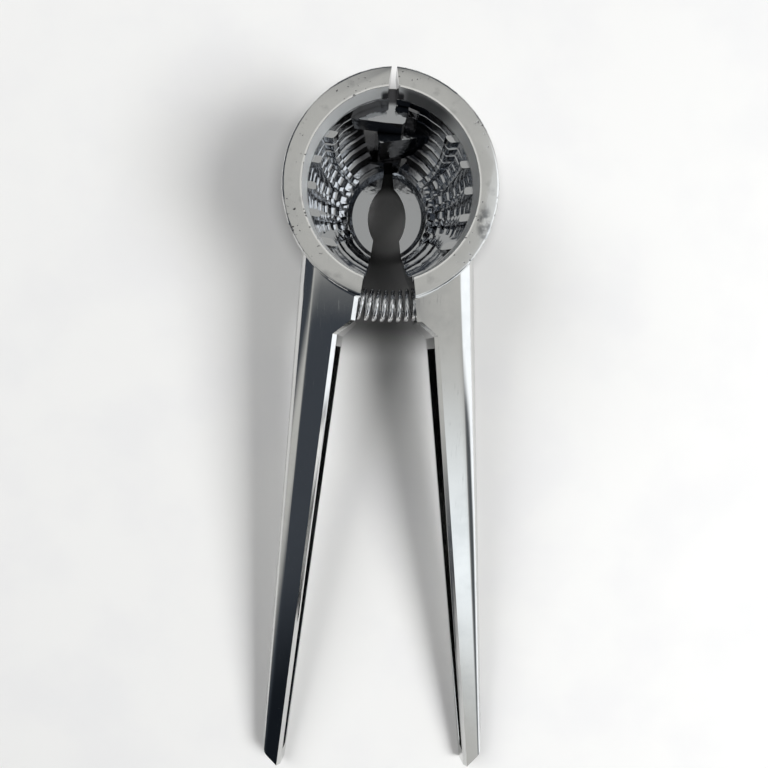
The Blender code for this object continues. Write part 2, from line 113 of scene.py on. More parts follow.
# %% Weld a copy of a casting
SHARP = math.radians(30.0)
FLAT = math.radians(0.3)
WELD = 0.002 * MM


def add_object(name, mesh):
    """Put a mesh in the scene as an object of its own."""
    made = bpy.data.objects.new(name, mesh)
    bpy.context.scene.collection.objects.link(made)
    return made


def welded_copy(node, name):
    """One skin from a node's loose triangles: equal corners become one, flat neighbours one face.

    Corners are rounded to a fine lattice, and np.unique gives each lattice point one number. A triangle
    so thin that two of its corners meet there is left out.
    """
    source = frame["nodes"][node].data
    corners = np.empty(len(source.vertices) * 3)
    source.vertices.foreach_get("co", corners)
    triangles = np.empty(len(source.loops), int)
    source.loops.foreach_get("vertex_index", triangles)
    lattice = np.round(corners.reshape(-1, 3) / WELD).astype(int)
    points, number = np.unique(lattice, axis=0, return_inverse=True)
    triangles = number.ravel()[triangles].reshape(-1, 3)
    whole = (triangles != np.roll(triangles, 1, axis=1)).all(axis=1)
    mesh = bpy.data.meshes.new(name)
    mesh.from_pydata(points * WELD, [], triangles[whole].tolist())
    mesh.validate()
    skin = bmesh.new()
    skin.from_mesh(mesh)
    bmesh.ops.dissolve_limit(skin, angle_limit=FLAT, verts=skin.verts, edges=skin.edges)
    skin.to_mesh(mesh)
    skin.free()
    mesh.shade_smooth()
    mesh.set_sharp_from_angle(angle=SHARP)
    return add_object(name, mesh)


# %% Soften both castings
EDGE_ROUND = 0.14 * MM
EDGE_SEGMENTS = 2


def soften(piece):
    """Round every sharp edge by the plating's small radius."""
    bevel = piece.modifiers.new("soft_edges", "BEVEL")
    bevel.width = EDGE_ROUND
    bevel.segments = EDGE_SEGMENTS
    bevel.limit_method = "ANGLE"
    bevel.angle_limit = SHARP
    bevel.use_clamp_overlap = True
    bevel.harden_normals = True
    return piece


castings = {}
for side, body in (("left", "left_side"), ("right", "right_side")):
    piece = soften(welded_copy(side + "_jaw", side + "_casting"))
    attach(piece, body)
    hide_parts(side + "_jaw")
    castings[side] = piece
    print(piece.name, len(piece.data.polygons), "faces after welding")

# %% [markdown]
# ## A round skin about a path
#
# The spring and the pin are both round skins about a line, so one function makes both. It lays a ring of
# points square to the path at each station, with numpy, and joins neighbouring rings with four-cornered
# faces. Its UV map holds the distance along the line and the share of a turn round it, which the metal's
# drawn and turned marks follow later.

# %% Sweep a circle
def round_skin(name, middles, across, up, radii, sides):
    """A tube with flat ends about a path.

    Point j of ring i is middle_i + radius_i (cos a_j across_i + sin a_j up_i), with a_j = 2 pi j / sides.
    """
    turns = 2.0 * math.pi * np.arange(sides) / sides
    spokes = (np.cos(turns)[None, :, None] * across[:, None, :]
              + np.sin(turns)[None, :, None] * up[:, None, :])
    points = middles[:, None, :] + radii[:, None, None] * spokes
    count = len(middles)
    ring, step = np.meshgrid(np.arange(count - 1), np.arange(sides), indexing="ij")
    after = (step + 1) % sides
    walls = np.stack([ring * sides + step, ring * sides + after,
                      (ring + 1) * sides + after, (ring + 1) * sides + step], axis=-1).reshape(-1, 4)
    ends = [list(range(sides))[::-1], list(range((count - 1) * sides, count * sides))]
    mesh = bpy.data.meshes.new(name)
    mesh.from_pydata(points.reshape(-1, 3), [], walls.tolist() + ends)
    mesh.shade_smooth()
    mesh.set_sharp_from_angle(angle=SHARP)
    steps = np.linalg.norm(np.diff(middles + radii[:, None] * across, axis=0), axis=1)
    along = np.concatenate([[0.0], np.cumsum(steps)])
    share = (step[..., None] + np.array([0, 1, 1, 0])) / sides
    travelled = along[ring[..., None] + np.array([0, 0, 1, 1])]
    corners = np.stack([travelled, share], axis=-1).reshape(-1, 2)
    corners = np.concatenate([corners, np.zeros((2 * sides, 2))])
    mesh.uv_layers.new(name="line").data.foreach_set("uv", corners.ravel())
    return add_object(name, mesh)


# %% [markdown]
# ## The return spring
#
# Spring wire is wound on a mandrel, so the curl is a helix. Its axis is straight inside each pocket and
# bends round the hinge between the necks. The last half turn at each end is closed down, as on real
# compression springs, so that it sits flat in its pocket. This one is wound left-handed.

# %% The spring's axis
SPRING_DISTANCE = 49.6 * MM
SPRING_HEIGHT = 21.469 * MM


def spring_axis(distance):
    """Points and directions on the axis at signed distances from its middle.

    Up to the necks it turns about the hinge by distance / radius, and past them it runs straight.
    """
    half_arc = SPRING_DISTANCE * half_opening
    held = np.clip(distance, -half_arc, half_arc)
    turn = held / SPRING_DISTANCE
    along = np.stack([np.cos(turn), np.sin(turn), np.zeros_like(turn)], axis=1)
    middle = np.stack([SPRING_DISTANCE * np.sin(turn), -SPRING_DISTANCE * np.cos(turn),
                       np.full_like(turn, SPRING_HEIGHT)], axis=1)
    middle[:, :2] += pivot[:2]
    return middle + (distance - held)[:, None] * along, along


# %% Wind the spring
COIL_RADIUS = 3.85 * MM
WIRE_RADIUS = 0.65 * MM
COIL_PITCH = 2.05 * MM
POCKET_FLOOR = 10.2 * MM
STATIONS_PER_TURN = 26
WIRE_SIDES = 14


def wind_spring():
    """Helix about the axis: distance is pitch times turns, and slower in the closed half turns."""
    half_length = SPRING_DISTANCE * half_opening + POCKET_FLOOR
    open_turns = (half_length - 2.0 * WIRE_RADIUS) / COIL_PITCH
    turns = np.linspace(-open_turns - 0.5, open_turns + 0.5,
                        int(2.0 * open_turns * STATIONS_PER_TURN))
    open_part = np.clip(turns, -open_turns, open_turns)
    distance = COIL_PITCH * open_part + 2.0 * WIRE_RADIUS * (turns - open_part)
    middle, along = spring_axis(distance)
    square = np.stack([-along[:, 1], along[:, 0], np.zeros(len(along))], axis=1)
    angle = -2.0 * math.pi * turns
    spoke = np.cos(angle)[:, None] * square
    spoke[:, 2] = np.sin(angle)
    path = middle + COIL_RADIUS * spoke
    travel = np.gradient(path, axis=0)
    travel /= np.linalg.norm(travel, axis=1)[:, None]
    up = np.cross(travel, spoke)
    up /= np.linalg.norm(up, axis=1)[:, None]
    print("spring: %.1f turns of %.1f mm wire" % (turns[-1] - turns[0], 2.0 * WIRE_RADIUS / MM))
    return round_skin("coil_spring", path, spoke, up, np.full(len(path), WIRE_RADIUS), WIRE_SIDES)


spring = wind_spring()
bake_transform(spring)
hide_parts("return_spring")

# %% [markdown]
# ## The hinge pin
#
# A headed pin is turned on a lathe, so it is a profile about a straight line. The head has a centre mark
# from the lathe and an eased rim, and the far end is eased so that it goes in to its bore.

# %% Turn the pin
PIN_PROFILE_MM = ((0.30, 1.34), (0.75, 1.24), (1.05, 1.12), (2.45, 1.10), (2.72, 1.16), (2.86, 1.30),
                  (2.90, 1.46), (2.90, 1.70), (2.86, 1.82), (2.76, 1.90), (1.95, 1.90), (1.80, 1.96),
                  (1.75, 2.10), (1.75, 15.0), (1.75, 28.5), (1.69, 28.8), (1.50, 29.02), (1.22, 29.10),
                  (0.40, 29.10))
PIN_SIDES = 48

profile = np.array(PIN_PROFILE_MM) * MM
middles = np.column_stack([np.full(len(profile), pivot[0]), np.full(len(profile), pivot[1]), profile[:, 1]])
level = np.tile([[1.0, 0.0, 0.0]], (len(profile), 1))
pin = round_skin("turned_pin", middles, level, np.roll(level, 1, axis=1), profile[:, 0], PIN_SIDES)
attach(pin, "left_side")
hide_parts("hinge_pin")
print("pin: %d faces" % len(pin.data.polygons))

# %% [markdown]
# ## Tools for drawing materials
#
# A material is a small graph. These helpers keep each step of it to one line. An input is either another
# step's output, which gets linked, or a plain value, which is written on the socket itself. A Mix node has
# a set of sockets for each kind of value under the same names, so its colour sockets are picked by number.

# %% Links and sums
def feed(tree, value, socket):
    """Link a socket, or write a value on it."""
    if isinstance(value, bpy.types.NodeSocket):
        tree.links.new(value, socket)
    else:
        socket.default_value = value


def maths(tree, operation, *values):
    """One Math node."""
    node = tree.nodes.new("ShaderNodeMath")
    node.operation = operation
    for value, socket in zip(values, node.inputs):
        feed(tree, value, socket)
    return node.outputs[0]


def vector_maths(tree, operation, first, second, output="Vector"):
    """One Vector Math node."""
    node = tree.nodes.new("ShaderNodeVectorMath")
    node.operation = operation
    feed(tree, first, node.inputs[0])
    feed(tree, second, node.inputs[1])
    return node.outputs[output]


def length(tree, vector):
    """Length of a vector."""
    return vector_maths(tree, "LENGTH", vector, (0.0, 0.0, 0.0), "Value")


def split_xyz(tree, vector):
    """The three parts of a vector by name."""
    node = tree.nodes.new("ShaderNodeSeparateXYZ")
    tree.links.new(vector, node.inputs[0])
    return node.outputs


# %% Masks and noise
FLAT_PLAN = (1.0, 1.0, 0.0)


def product(tree, *masks):
    """Every mask times the next: 1 only where all are 1."""
    result = masks[0]
    for mask in masks[1:]:
        result = maths(tree, "MULTIPLY", result, mask)
    return result


def largest(tree, *masks):
    """The largest of the masks: 1 where any is 1."""
    result = masks[0]
    for mask in masks[1:]:
        result = maths(tree, "MAXIMUM", result, mask)
    return result


def in_plan(tree, point, centre):
    """Arm from a centre to a point, without its height."""
    return vector_maths(tree, "MULTIPLY", vector_maths(tree, "SUBTRACT", point, centre), FLAT_PLAN)


def ramp(tree, value, low, high, start=0.0, end=1.0):
    """Smooth step: start below low and end above high. With low above high it falls instead."""
    node = tree.nodes.new("ShaderNodeMapRange")
    node.interpolation_type = "SMOOTHSTEP"
    if low > high:
        low, high, start, end = high, low, end, start
    for socket, number in (("From Min", low), ("From Max", high), ("To Min", start), ("To Max", end)):
        node.inputs[socket].default_value = number
    feed(tree, value, node.inputs["Value"])
    return node.outputs["Result"]


def noise(tree, point, scale, detail=2.0, roughness=0.5):
    """Smooth noise round 0.5 with features of about 1 / scale metres."""
    node = tree.nodes.new("ShaderNodeTexNoise")
    feed(tree, point, node.inputs["Vector"])
    node.inputs["Scale"].default_value = scale
    node.inputs["Detail"].default_value = detail
    node.inputs["Roughness"].default_value = roughness
    return node.outputs["Fac"]


# %% Blends
MIX_UNDER, MIX_OVER, MIX_RESULT = 6, 7, 2


def blend_colour(tree, mask, under, over):
    """Lay one colour over another where the mask is 1."""
    node = tree.nodes.new("ShaderNodeMix")
    node.data_type = "RGBA"
    feed(tree, mask, node.inputs["Factor"])
    for colour, socket in ((under, node.inputs[MIX_UNDER]), (over, node.inputs[MIX_OVER])):
        feed(tree, colour if isinstance(colour, bpy.types.NodeSocket) else (*colour, 1.0), socket)
    return node.outputs[MIX_RESULT]


def blend_value(tree, mask, under, over):
    """Mix two numbers by a mask."""
    node = tree.nodes.new("ShaderNodeMix")
    feed(tree, mask, node.inputs["Factor"])
    feed(tree, under, node.inputs["A"])
    feed(tree, over, node.inputs["B"])
    return node.outputs["Result"]


# %% Node groups
VECTOR, NUMBER = "NodeSocketVector", "NodeSocketFloat"


def new_group(name, inputs, outputs):
    """An empty node group. Returns it, its input sockets by name and a node for its outputs."""
    tree = bpy.data.node_groups.new(name, "ShaderNodeTree")
    for label, kind in inputs:
        tree.interface.new_socket(name=label, in_out="INPUT", socket_type=kind)
    for label, kind in outputs:
        tree.interface.new_socket(name=label, in_out="OUTPUT", socket_type=kind)
    start = tree.nodes.new("NodeGroupInput")
    return tree, start.outputs, tree.nodes.new("NodeGroupOutput")


def use_group(tree, made, **values):
    """Place a group in a material and feed its inputs by name."""
    node = tree.nodes.new("ShaderNodeGroup")
    node.node_tree = made
    for label, value in values.items():
        feed(tree, value, node.inputs[label])
    return node.outputs


# %% [markdown]
# ## The trouble in the mirror
#
# Perfect chrome looks drawn, and small troubles make it real. The casting's skin waves, so that reflected
# edges wander, and handling leaves a haze and fine scratches along the tool. Both are noise, read at the
# point on the object. Each is a node group that gives only masks or heights, so both castings share it.

# %% Waves and handling marks
# A noise is given as its scale, detail and roughness, and a range as where its soft step starts and ends.
WAVE_NOISE, WAVE_HEIGHT = (62.0, 1.0), 0.05 * MM
RIPPLE_NOISE, RIPPLE_HEIGHT = (330.0, 1.0), 0.0016 * MM
HAZE_NOISE, HAZE_RANGE = (75.0, 4.0, 0.62), (0.42, 0.72)
LINE_STRETCH = (3400.0, 60.0, 900.0)
LINE_NOISE, LINE_RANGE = (1.0, 3.0, 0.7), (0.60, 0.72)
BREAK_NOISE, BREAK_RANGE = (160.0, 2.0), (0.45, 0.62)


def casting_wave():
    """Height of the casting's skin in metres: a slow wave and a finer ripple."""
    tree, given, result = new_group("casting_wave", [("Point", VECTOR)], [("Height", NUMBER)])
    slow = maths(tree, "MULTIPLY", noise(tree, given["Point"], *WAVE_NOISE), WAVE_HEIGHT)
    fine = maths(tree, "MULTIPLY", noise(tree, given["Point"], *RIPPLE_NOISE), RIPPLE_HEIGHT)
    tree.links.new(maths(tree, "ADD", slow, fine), result.inputs["Height"])
    return tree


def handling_marks():
    """Masks of haze and of fine scratches that run along the tool."""
    tree, given, result = new_group("handling_marks", [("Point", VECTOR)],
                                    [("Haze", NUMBER), ("Scratches", NUMBER)])
    haze = ramp(tree, noise(tree, given["Point"], *HAZE_NOISE), *HAZE_RANGE)
    stretched = vector_maths(tree, "MULTIPLY", given["Point"], LINE_STRETCH)
    lines = ramp(tree, noise(tree, stretched, *LINE_NOISE), *LINE_RANGE)
    broken = ramp(tree, noise(tree, given["Point"], *BREAK_NOISE), *BREAK_RANGE)
    tree.links.new(haze, result.inputs["Haze"])
    tree.links.new(product(tree, lines, broken), result.inputs["Scratches"])
    return tree


wave_group, marks_group = casting_wave(), handling_marks()
print("node groups:", [made.name for made in bpy.data.node_groups])

# %% [markdown]
# ## Wear on the rim
#
# The flat rim is what knocks against other tools. It is pitted, mostly along its two edges, faintly smudged
# all over, and scuffed once on the right. The rim is a ring at the top of the cup and a plain upright band
# runs below its inner edge, so the height and the distance from the cup's axis tell where a point lies.

# %% Rim masks
CUP_TOP = float(cad_high[2])
RIM_INNER, RIM_OUTER = 23.3 * MM, 28.2 * MM
BAND_FOOT = CUP_TOP - 4.4 * MM
FACE_LEVEL = (CUP_TOP - 0.25 * MM, CUP_TOP - 0.05 * MM)
FACE_START = (RIM_INNER - 0.5 * MM, RIM_INNER - 0.2 * MM)
BAND_LEVEL = (BAND_FOOT, BAND_FOOT + 0.3 * MM)
BAND_START = (RIM_INNER - 1.5 * MM, RIM_INNER - 1.0 * MM)
BAND_END = (RIM_INNER + 0.6 * MM, RIM_INNER + 0.2 * MM)
INNER_EDGE = (RIM_INNER + 1.1 * MM, RIM_INNER)
OUTER_EDGE = (RIM_OUTER - 1.3 * MM, RIM_OUTER)
EDGE_CROWDING = 0.07
SPECK_NOISE, SPECK_RANGE = (1150.0, 1.0), (0.68, 0.76)
PATCH_NOISE, PATCH_RANGE = (110.0, 1.0), (0.44, 0.60)
SCUFF_AT = (22.9 * MM, 64.6 * MM, CUP_TOP)
SCUFF_STRETCH, SCUFF_RANGE = (420.0, 170.0, 0.0), (1.0, 0.35)
TORN_NOISE, TORN_RANGE = (420.0, 4.0), (0.34, 0.62)
SMUDGE_NOISE, SMUDGE_RANGE, SMUDGE_SHARE = (240.0, 4.0), (0.55, 0.78), 0.35


def rim_wear():
    """Masks of the flat rim, of the band inside it, of nicks that crowd to its edges, and of scuffs."""
    tree, given, result = new_group("rim_wear", [("Point", VECTOR), ("Centre", VECTOR)],
                                    [("Face", NUMBER), ("Band", NUMBER), ("Nicks", NUMBER),
                                     ("Scuff", NUMBER)])
    point = given["Point"]
    height = split_xyz(tree, point)["Z"]
    radius = length(tree, in_plan(tree, point, given["Centre"]))
    face = product(tree, ramp(tree, height, *FACE_LEVEL), ramp(tree, radius, *FACE_START))
    band = product(tree, ramp(tree, height, *BAND_LEVEL), ramp(tree, radius, *BAND_START),
                   ramp(tree, radius, *BAND_END))
    edges = largest(tree, ramp(tree, radius, *INNER_EDGE), ramp(tree, radius, *OUTER_EDGE))
    specks = maths(tree, "ADD", noise(tree, point, *SPECK_NOISE),
                   maths(tree, "MULTIPLY", edges, EDGE_CROWDING))
    nicks = product(tree, ramp(tree, specks, *SPECK_RANGE),
                    ramp(tree, noise(tree, point, *PATCH_NOISE), *PATCH_RANGE), face)
    arm = vector_maths(tree, "MULTIPLY", vector_maths(tree, "SUBTRACT", point, SCUFF_AT), SCUFF_STRETCH)
    scuff = product(tree, ramp(tree, length(tree, arm), *SCUFF_RANGE),
                    ramp(tree, noise(tree, point, *TORN_NOISE), *TORN_RANGE))
    smudge = maths(tree, "MULTIPLY", ramp(tree, noise(tree, point, *SMUDGE_NOISE), *SMUDGE_RANGE),
                   SMUDGE_SHARE)
    scuff = product(tree, largest(tree, scuff, smudge), face)
    for label, mask in (("Face", face), ("Band", band), ("Nicks", nicks), ("Scuff", scuff)):
        tree.links.new(mask, result.inputs[label])
    return tree


rim_group = rim_wear()
print("cup top %.1f mm, band foot %.1f mm" % (CUP_TOP / MM, BAND_FOOT / MM))

# %% [markdown]
# ## Thin plating and painted shade
#
# Plating grows slowly deep in a cup, where the current hardly reaches, so it is thin there and mirrors less,
# and the bowl is also painted darker as shade deep in the cup. Shade is painted round the hinge: on upright
# faces, low between the knuckles and in the slit of the rim, and a painted dark reflection lies on upright
# faces inside near the hinge. It is kept off faces that turn outward. Heights, distances and the way that a
# face turns find such places.

# %% Masks of the bowl and of the grease
HINGE_Y = float(pivot[1])
BOWL_EDGE, TURNED_IN = (RIM_INNER + 0.3 * MM, RIM_INNER - 0.3 * MM), (0.5, 0.3)
BOWL_FLOOR, BOWL_TOP = (1.0 * MM, 2.0 * MM), (BAND_FOOT + 0.3 * MM, BAND_FOOT)
SHADE_REACH, UPRIGHT = (15.0 * MM, 10.0 * MM), (0.6, 0.2)
BEHIND_BOWL = (HINGE_Y - 6.0 * MM, HINGE_Y - 4.0 * MM)
UNDER_KNUCKLE = (28.0 * MM, 26.0 * MM)
DEEP, OFF_FLOOR = (21.0 * MM, 17.0 * MM), (4.0 * MM, 6.0 * MM)
BELOW_BAND = (BAND_FOOT + 0.6 * MM, BAND_FOOT)
SLIT_LEVEL, SLIT_SIDE = (CUP_TOP - 1.0 * MM, CUP_TOP - 3.0 * MM), (3.2 * MM, 2.4 * MM)
BEHIND_PIN = (HINGE_Y - 0.3 * MM, HINGE_Y + 1.0 * MM)
PATCHY_NOISE, PATCHY_RANGE = (260.0, 3.0), (0.20, 0.40, 0.9, 1.0)
SIDE_SHADE_X = (1.0 * MM, 4.0 * MM, 0.0, 0.8)
SIDE_SHADE_Y = (HINGE_Y - 8.0 * MM, HINGE_Y - 3.0 * MM)
NOT_OUTWARD = (0.60, 0.35)


def recess():
    """Masks of the bowl's inside and of the places round the hinge where shade is painted.

    Outward is normal . spoke / length of spoke, with the spoke from the cup's axis to the point. It is
    small on faces that turn in, or up.
    """
    tree, given, result = new_group("recess", [("Point", VECTOR), ("Centre", VECTOR), ("Hinge", VECTOR),
                                               ("Normal", VECTOR)],
                                    [("Bowl", NUMBER), ("Hinge shade", NUMBER)])
    point = given["Point"]
    place = split_xyz(tree, point)
    height = place["Z"]
    spoke = in_plan(tree, point, given["Centre"])
    radius = length(tree, spoke)
    outward = maths(tree, "DIVIDE", vector_maths(tree, "DOT_PRODUCT", spoke, given["Normal"], "Value"),
                    maths(tree, "MAXIMUM", radius, MM))
    inside = product(tree, ramp(tree, radius, *BOWL_EDGE), ramp(tree, outward, *TURNED_IN))
    bowl = product(tree, inside, ramp(tree, height, *BOWL_FLOOR), ramp(tree, height, *BOWL_TOP))
    # Painted shade round the hinge: upright faces, low places between the knuckles and the slit of the rim
    # are darkened.
    near = ramp(tree, length(tree, in_plan(tree, point, given["Hinge"])), *SHADE_REACH)
    upright = ramp(tree, maths(tree, "ABSOLUTE", split_xyz(tree, given["Normal"])["Z"]), *UPRIGHT)
    behind = product(tree, ramp(tree, place["Y"], *BEHIND_BOWL), ramp(tree, height, *UNDER_KNUCKLE))
    deep = product(tree, largest(tree, behind, ramp(tree, height, *DEEP)),
                   ramp(tree, height, *OFF_FLOOR))
    in_slit = product(tree, ramp(tree, height, *SLIT_LEVEL),
                      ramp(tree, maths(tree, "ABSOLUTE", place["X"]), *SLIT_SIDE))
    slit_floor = product(tree, in_slit, ramp(tree, place["Y"], *BEHIND_PIN))
    sunk = largest(tree, upright, deep, slit_floor)
    low = largest(tree, ramp(tree, height, *BELOW_BAND), in_slit)
    patchy = ramp(tree, noise(tree, point, *PATCHY_NOISE), *PATCHY_RANGE)
    # A painted dark reflection on upright faces inside the bowl near the hinge.
    side_shade = product(tree, ramp(tree, place["X"], *SIDE_SHADE_X), ramp(tree, place["Y"], *SIDE_SHADE_Y),
                    inside, upright)
    hinge_shade = product(tree, largest(tree, product(tree, near, sunk, low, patchy), side_shade),
                     ramp(tree, outward, *NOT_OUTWARD))
    tree.links.new(bowl, result.inputs["Bowl"])
    tree.links.new(hinge_shade, result.inputs["Hinge shade"])
    return tree


recess_group = recess()
print("grease reaches %.0f mm from the hinge" % (SHADE_REACH[0] / MM))

# %% [markdown]
# ## Chrome
#
# Chrome reflects a little over half of the light with a faint cool tint. The handles are polished, the flat
# rim is only brushed, the band inside it is rough, and nicks show the dull layer below the plating. The bowl
# keeps the uneven skin of the mould, which breaks its reflections up, and an Ambient Occlusion node finds the
# narrow corners between its steps, which get painted shade.

# %% Axis of each half cup
AXIS_OFFSET = 4.6 * MM
CUP_DISTANCE = 21.6 * MM


def cup_centre(side):
    """A half cup's own axis at rest: drawn shut about the pivot, then turned open."""
    turn = side * half_opening
    x, y = -side * AXIS_OFFSET, -CUP_DISTANCE
    return (pivot[0] + x * math.cos(turn) - y * math.sin(turn),
            pivot[1] + x * math.sin(turn) + y * math.cos(turn), 0.0)


# %% Metal helpers
def metal(name):
    """A new all-metal material. Returns it, its tree, its shader and its coordinates."""
    made = bpy.data.materials.new(name)
    made.use_nodes = True
    shader = made.node_tree.nodes["Principled BSDF"]
    shader.inputs["Metallic"].default_value = 1.0
    return made, made.node_tree, shader, made.node_tree.nodes.new("ShaderNodeTexCoord").outputs


def add_bump(tree, shader, height):
    """Turn a height in metres in to the shader's normal."""
    bump = tree.nodes.new("ShaderNodeBump")
    bump.inputs["Distance"].default_value = 1.0
    feed(tree, height, bump.inputs["Height"])
    tree.links.new(bump.outputs["Normal"], shader.inputs["Normal"])


# %% Chrome material
CHROME = (0.64, 0.64, 0.63)
SMOKED = (0.50, 0.51, 0.51)
BAND_METAL = (0.95, 0.95, 0.94)
# Painted shade deep in the bowl, together with the thinner plating there.
THIN_PLATING_AND_SHADE = (0.44, 0.45, 0.465)
PAINTED_SHADE = (0.07, 0.07, 0.075)
UNDER_PLATING = (0.16, 0.155, 0.15)
SCUFFED = (0.22, 0.225, 0.23)
HAZE_SHARE, SCRATCH_SHARE = 0.35, 0.6
CORNER_REACH, CORNER_SAMPLES, CORNER_RANGE = 0.9 * MM, 6, (0.62, 0.34)
POLISHED, HAZED, SCRATCHED = 0.07, 0.12, 0.27
BAND_BRUSHED, RIM_BRUSHED, NICK_ROUGH = 0.8, 0.18, 0.6
NICK_HEIGHT = -0.03 * MM
SKIN_NOISE, SKIN_HEIGHT = (620.0, 2.0), 0.06 * MM


def chrome(name, centre):
    """Plated metal of one casting."""
    made, tree, shader, place = metal(name)
    point = place["Object"]
    marks = use_group(tree, marks_group, Point=point)
    rim = use_group(tree, rim_group, Point=point, Centre=centre)
    hollow = use_group(tree, recess_group, Point=point, Centre=centre, Hinge=tuple(pivot),
                       Normal=place["Normal"])
    # Painted shade: the Ambient Occlusion node darkens the narrow corners inside the bowl.
    corner = tree.nodes.new("ShaderNodeAmbientOcclusion")
    corner.samples = CORNER_SAMPLES
    corner.inputs["Distance"].default_value = CORNER_REACH
    corner_shade = product(tree, hollow["Bowl"], ramp(tree, corner.outputs["AO"], *CORNER_RANGE))
    worn = largest(tree, maths(tree, "MULTIPLY", marks["Haze"], HAZE_SHARE),
                   maths(tree, "MULTIPLY", marks["Scratches"], SCRATCH_SHARE))
    # Painted shade: the bowl's darker colour, the Ambient Occlusion corners and the places round the hinge.
    # Haze, scuffs and nicks are wear.
    colour = CHROME
    for mask, over in ((worn, SMOKED), (rim["Band"], BAND_METAL), (hollow["Bowl"], THIN_PLATING_AND_SHADE),
                       (corner_shade, PAINTED_SHADE), (hollow["Hinge shade"], PAINTED_SHADE), (rim["Scuff"], SCUFFED),
                       (rim["Nicks"], UNDER_PLATING)):
        colour = blend_colour(tree, mask, colour, over)
    feed(tree, colour, shader.inputs["Base Color"])
    rough = POLISHED
    for mask, over in ((marks["Haze"], HAZED), (marks["Scratches"], SCRATCHED),
                       (rim["Band"], BAND_BRUSHED), (rim["Face"], RIM_BRUSHED),
                       (rim["Nicks"], NICK_ROUGH)):
        rough = blend_value(tree, mask, rough, over)
    feed(tree, rough, shader.inputs["Roughness"])
    dents = maths(tree, "MULTIPLY", rim["Nicks"], NICK_HEIGHT)
    skin = maths(tree, "MULTIPLY", noise(tree, point, *SKIN_NOISE), SKIN_HEIGHT)
    relief = maths(tree, "ADD", dents, product(tree, hollow["Bowl"], skin))
    wave = use_group(tree, wave_group, Point=point)["Height"]
    add_bump(tree, shader, maths(tree, "ADD", wave, relief))
    return made


for side, sign in (("left", -1.0), ("right", 1.0)):
    centre = cup_centre(sign)
    castings[side].data.materials.clear()
    castings[side].data.materials.append(chrome(side + "_chrome", centre))
    print(side, "cup centre at", np.round(np.array(centre) / MM, 2), "mm")

# %% [markdown]
# ## Steel
#
# The wire was drawn through a die and the pin turned on a lathe, and both leave fine lines: along the
# wire, and round the pin. The UV map from the sweep knows both directions, so one group draws them.

# %% Steel material
TOOL_NOISE, STAIN_NOISE, STAIN_RANGE = (1.0, 3.0, 0.6), (420.0, 3.0), (0.44, 0.68)
LINE_COLOUR_RANGE, LINE_ROUGH_RANGE = (0.38, 0.66), (0.35, 0.65)
STAIN_SHARE, LINE_HEIGHT = 0.4, 0.003 * MM
WIRE_STRETCH, PIN_STRETCH = (70.0, 40.0, 1.0), (9000.0, 2.0, 1.0)


def tool_lines():
    """Mask of fine lines in a UV map, much longer one way than the other by the given stretch."""
    tree, given, result = new_group("tool_lines", [("Line", VECTOR), ("Stretch", VECTOR)],
                                    [("Lines", NUMBER)])
    stretched = vector_maths(tree, "MULTIPLY", given["Line"], given["Stretch"])
    tree.links.new(noise(tree, stretched, *TOOL_NOISE), result.inputs["Lines"])
    return tree


lines_group = tool_lines()


def steel(name, pale, dark, stretch, smooth, rough):
    """Plain steel with tool lines and a thin oil stain."""
    made, tree, shader, place = metal(name)
    lines = use_group(tree, lines_group, Line=place["UV"], Stretch=stretch)["Lines"]
    stain = ramp(tree, noise(tree, place["Object"], *STAIN_NOISE), *STAIN_RANGE)
    colour = blend_colour(tree, ramp(tree, lines, *LINE_COLOUR_RANGE), dark, pale)
    colour = blend_colour(tree, maths(tree, "MULTIPLY", stain, STAIN_SHARE), colour, dark)
    feed(tree, colour, shader.inputs["Base Color"])
    feed(tree, ramp(tree, lines, *LINE_ROUGH_RANGE, rough, smooth), shader.inputs["Roughness"])
    add_bump(tree, shader, maths(tree, "MULTIPLY", lines, LINE_HEIGHT))
    return made


spring.data.materials.append(steel("drawn_wire", (0.92, 0.92, 0.91), (0.62, 0.62, 0.63), WIRE_STRETCH,
                                   smooth=0.12, rough=0.22))
pin.data.materials.append(steel("turned_steel", (0.60, 0.60, 0.58), (0.44, 0.44, 0.43), PIN_STRETCH,
                                smooth=0.22, rough=0.38))
print("materials:", [made.name for made in bpy.data.materials if made.users])

# %% [markdown]
# ## Floor and lamps
#
# The tool lies on a plain pale floor. A soft lamp low on the right gives the floor its light and its
# shadow, and a weaker one from the far left fills it. Both are too low to shine down in to the cup, so the
# cup stays deep. Their mirror images are left to the windows that the room has. The floor is painted darker
# below the cup and the necks, where little light would get in, and far off it fades in to the backdrop.

# %% Floor
FLOOR_HALF = 3.0


def plain_floor():
    """A square plane at the height that the tool stands on."""
    half = FLOOR_HALF
    mesh = bpy.data.meshes.new("floor")
    mesh.from_pydata([(-half, -half, 0.0), (half, -half, 0.0), (half, half, 0.0), (-half, half, 0.0)],
                     [], [(0, 1, 2, 3)])
    return add_object("floor", mesh)


floor = plain_floor()

# %% Floor's material
FLOOR_ROUGH = 0.85
BACKDROP = (0.93, 0.93, 0.92)
FLOOR_COLOUR, FLOOR_SHADED = (0.86, 0.86, 0.85), (0.83, 0.83, 0.83)
MOTTLE_NOISE, MOTTLE_RANGE = (30.0, 4.0), (0.40, 0.70)
UNDER_CUP, UNDER_CUP_RANGE = (0.0, 83.0 * MM, 0.0), (38.0 * MM, 25.0 * MM)
UNDER_HOLE, UNDER_HOLE_RANGE = (0.0, 73.0 * MM, 0.0), (8.0 * MM, 12.0 * MM)
SHADOW_BELOW_CUP, SHADOW_BELOW_NECKS = (0.08, 0.08, 0.08), (0.15, 0.15, 0.15)
NECKS_SIDE = (22.0 * MM, 13.0 * MM)
NECKS_BACK, NECKS_FRONT = (76.0 * MM, 58.0 * MM), (30.0 * MM, 42.0 * MM)
FADE = (0.30, 0.75)


def far_from(tree, point, centre):
    """Distance between two points."""
    return vector_maths(tree, "DISTANCE", point, centre, "Value")


